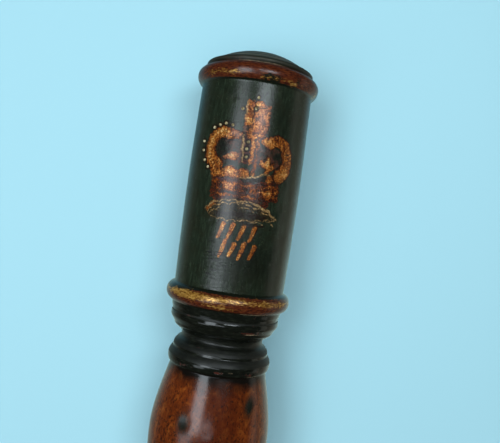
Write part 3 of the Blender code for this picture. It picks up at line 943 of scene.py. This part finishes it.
def addObject(name, shape, finishes):
    mesh = bpy.data.meshes.new(name)
    shape.to_mesh(mesh)
    shape.free()
    for finish in finishes:
        mesh.materials.append(finish)
    piece = bpy.data.objects.new(name, mesh)
    bpy.context.scene.collection.objects.link(piece)
    return piece


def makeStaff():
    shape, zoneEnds = turnStaff(staffSizes, crownPlace)
    wearStaff(shape, crownPlace, handWear)
    axisHeight = layDown(shape)
    gilding = wornGilding()
    finishes = {
        "handle": polishedWood(),
        "neck": blackNeck(),
        "footBead": gilding,
        "drum": japannedDrum(),
        "headBead": gilding,
        "cap": blackenedCap(),
    }
    ends = [(zoneEnds[name], number) for number, name in enumerate(finishes)]
    for face in shape.faces:
        x = (face.calc_center_median().x - staffLow.x) / mm
        face.material_index = next((number for end, number in ends if x < end), len(ends) - 1)
    piece = addObject("turnedStaff", shape, finishes.values())
    mesh = piece.data
    mesh.shade_smooth()
    mesh.set_sharp_from_angle(angle=math.radians(50))
    paintStaff(mesh, axisHeight, zoneEnds, crownPlace)
    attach(piece, "root")
    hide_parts("staff")
    print("staff turned:", len(mesh.polygons), "faces")
    return axisHeight


def makePearls(axisHeight, k, c):
    # thick paint drops: low domes bedded in the drum
    shape = bmesh.new()
    for u, v in pearlPlaces(k):
        drop = bmesh.ops.create_uvsphere(shape, u_segments=14, v_segments=8, radius=k["pearlRadius"] * mm)
        turn = Matrix.Rotation(u / c["rollRadius"], 4, "X")
        place = Matrix.Translation((staffLow.x + (c["fromButt"] + v) * mm, 0, axisHeight))
        sunk = Matrix.Translation((0, 0, (drumRadius - k["pearlSunk"]) * mm))
        bmesh.ops.transform(shape, matrix=place @ turn @ sunk, verts=drop["verts"])
    piece = addObject("paintDrops", shape, [pearlPaint()])
    piece.data.shade_smooth()
    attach(piece, "root")
    print("pearls laid:", len(pearlPlaces(k)))


# The photograph's view: straight down on the lying staff, which leans a little to the right
view = {
    "lens": 40.0, "distance": 191.9, "leanDeg": 8.2, "clipStart": 10.0,
    "footPixel": (239.27, 216.38), "imageMiddle": (250.0, 221.5), "pixelsPerFocal": 555.6,
}


def makeCamera(foot, w):
    lean = math.radians(w["leanDeg"])
    up = Vector((math.cos(lean), math.sin(lean), 0))
    right = Vector((math.sin(lean), -math.cos(lean), 0))
    pixel = w["distance"] * mm / w["pixelsPerFocal"]
    aside = right * ((w["footPixel"][0] - w["imageMiddle"][0]) * pixel)
    above = up * ((w["imageMiddle"][1] - w["footPixel"][1]) * pixel)
    camera = bpy.data.objects.new("camera", bpy.data.cameras.new("camera"))
    bpy.context.scene.collection.objects.link(camera)
    pose = Matrix((right, up, Vector((0, 0, 1)))).transposed().to_4x4()
    pose.translation = foot - aside - above + Vector((0, 0, w["distance"] * mm))
    camera.matrix_world = pose
    camera.data.lens = w["lens"]
    camera.data.clip_start = w["clipStart"] * mm
    bpy.context.scene.camera = camera


# Soft boxes: degrees round the staff from straight above, then along it from the crown's foot, away from it,
# the box's length and width, how bright its face is, and its colour
softBoxes = {
    "longBox": (25.3, 20, 450, 300, 168, 4.7, "#EBF7FF"),
    "headBox": (-18, 134, 450, 74, 190, 14.0, "#EBF7FF"),
    "lowBox": (40, -188, 450, 130, 190, 2.0, "#EBF7FF"),
    "gapBox": (4.4, -100, 450, 46, 150, 3.0, "#EBF7FF"),
    "rightBox": (-94, 0, 450, 500, 150, 0.42, "#F6F4E6"),
    "fillBox": (5, 0, 900, 1400, 1400, 1.2, "#FFFDFA"),
}


def makeLights(foot):
    for name, (degrees, along, away, length, width, radiance, colour) in softBoxes.items():
        lamp = bpy.data.lights.new(name, "AREA")
        lamp.shape = "RECTANGLE"
        lamp.size = length * mm
        lamp.size_y = width * mm
        lamp.energy = math.pi * lamp.size * lamp.size_y * radiance
        lamp.color = hexToLinear(colour)[:3]
        angle = math.radians(degrees)
        light = bpy.data.objects.new(name, lamp)
        light.location = foot + Vector((along, away * math.sin(angle), away * math.cos(angle))) * mm
        light.rotation_euler = (-angle, 0, 0)
        light.visible_glossy = name != "fillBox"  # the fill only lifts the shadows
        bpy.context.scene.collection.objects.link(light)


# The floor, and the backdrop that stands in for the photograph's, which lies far behind the staff
surround = {
    "floor": "#A9DDEC", "floorHalf": 3000, "sky": "#E6EADF", "skyStrength": 0.05,
    "backdrop": [(0.0, "#B0CCC4"), (0.4, "#B8E4E2"), (1.0, "#90D2E4")], "backdropRange": (-70, 210),
    "backdropPlace": (-40, -140, -250), "backdropHalf": 2000, "backdropFade": 520, "backdropStretch": 1.6,
    "backdropFar": "#C6C2AE", "farMiddle": 240, "farRange": (180, 560),
}


def stageSheet(name, half, place, material):
    shape = bmesh.new()
    bmesh.ops.create_grid(shape, x_segments=1, y_segments=1, size=half * mm)
    sheet = addObject(name, shape, [material])
    sheet.location = place
    return sheet


def backdropPaint(r):
    # glows in one colour along the staff and another far to its side, and fades outwards
    material, add, surface, place = newFinish("backdropPaint")
    stretched = add("Mapping", {"Vector": place, "Scale": (r["backdropStretch"], 1.0, 1.0)})
    outwards = add("VectorMath", {0: stretched}, operation="LENGTH", out="Value")
    share = add("Math", {0: outwards, 1: r["backdropFade"]}, operation="DIVIDE")
    squared = add("Math", {0: share, 1: share, 2: 1.0}, operation="MULTIPLY_ADD")
    strength = add("Math", {0: 1.0, 1: squared}, operation="DIVIDE")
    nearest, farthest = r["backdropRange"]
    lengthways, across = [add("SeparateXYZ", {0: place}, out=axis) for axis in ("X", "Y")]
    along = add("MapRange", {"Value": lengthways, "From Min": nearest, "From Max": farthest})
    shade = add("ValToRGB", {"Fac": along}, stops=r["backdrop"])
    aside = add("Math", {0: across, 1: r["farMiddle"]}, operation="SUBTRACT")
    away = add("Math", {0: aside}, operation="ABSOLUTE")
    farFrom, farTo = r["farRange"]
    far = add("MapRange", {"Value": away, "From Min": farFrom, "From Max": farTo})
    shade = layOver(add, shade, [(far, r["backdropFar"])])
    setInputs(surface, {
        "Base Color": "#000000", "Roughness": 1.0, "Emission Color": shade, "Emission Strength": strength})
    material.cycles.emission_sampling = "NONE"
    return material


def makeSurround(low, r):
    # the staff's flanks mirror the backdrop and not the near floor
    floorPaint, _, surface, _ = newFinish("floorPaint")
    setInputs(surface, {"Base Color": r["floor"], "Roughness": 0.9})
    floor = stageSheet("floor", r["floorHalf"], (0, 0, low.z), floorPaint)
    floor.visible_glossy = False
    backdropFrom = Vector(r["backdropPlace"]) * mm + Vector((0, 0, low.z))
    stageSheet("backdrop", r["backdropHalf"], backdropFrom, backdropPaint(r))
    world = bpy.data.worlds.new("studio")
    world.use_nodes = True
    sky = world.node_tree.nodes["Background"]
    setInputs(sky, {"Color": r["sky"], "Strength": r["skyStrength"]})
    bpy.context.scene.world = world
    bpy.context.scene.view_settings.view_transform = "Standard"


axisHeight = makeStaff()
makePearls(axisHeight, crown, crownPlace)
crownFoot = Vector((staffLow.x + crownPlace["fromButt"] * mm, 0, axisHeight))
makeCamera(crownFoot, view)
makeLights(crownFoot)
makeSurround(cadBox[0], surround)
print("camera, lights and floor set")
